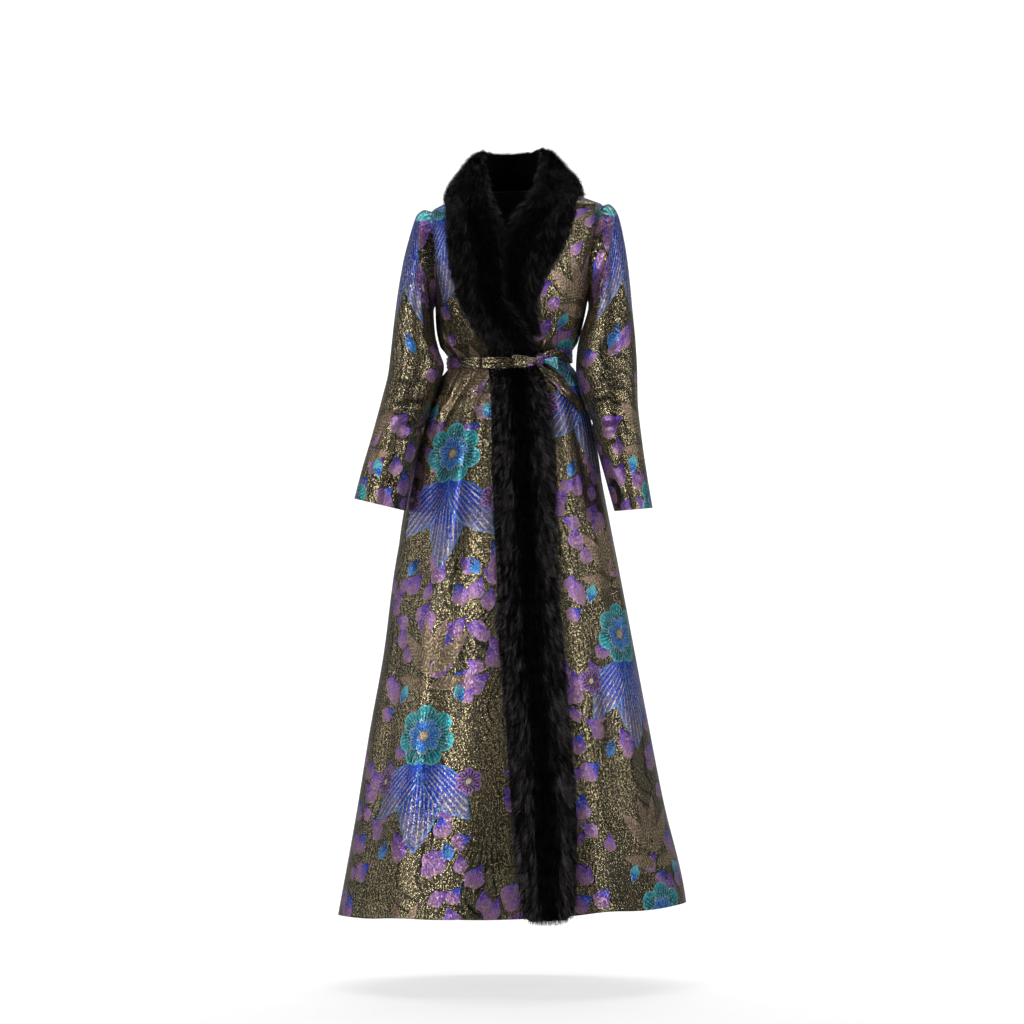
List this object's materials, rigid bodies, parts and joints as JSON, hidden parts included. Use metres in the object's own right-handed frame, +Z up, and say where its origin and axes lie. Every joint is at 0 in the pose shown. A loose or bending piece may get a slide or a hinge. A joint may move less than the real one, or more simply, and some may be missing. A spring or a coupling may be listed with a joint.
{
  "type": "wrap coat",
  "caption": "Floor-length wrap coat in patterned brocade, filled out as worn, with a fur shawl collar, a fur front band, long sleeves and a tie belt.",
  "frame": {"origin": "middle of the neck, level with the points where the shoulder seams meet it, which is where the wearer's shoulders hold the coat", "axes": "+Z up along the wearer, -Y the way the wearer faces, +X towards the wearer's left"},
  "size_m": [0.6943, 0.5272, 1.5285],
  "materials": {
    "brocade": "metallic brocade, dark olive and gold ground with teal, blue and purple flowers",
    "fur": "long soft black fur"
  },
  "bodies": {
    "root": {"back": "brocade", "front_right": "brocade", "front_left": "brocade", "sleeve_right": "brocade", "sleeve_left": "brocade", "collar_fur_right": "fur", "collar_fur_left": "fur", "front_fur_band": "fur", "belt": "brocade", "belt_knot": "brocade", "bow_loop_left": "brocade", "bow_loop_right": "brocade", "belt_tail": "brocade"}
  },
  "joints": []
}
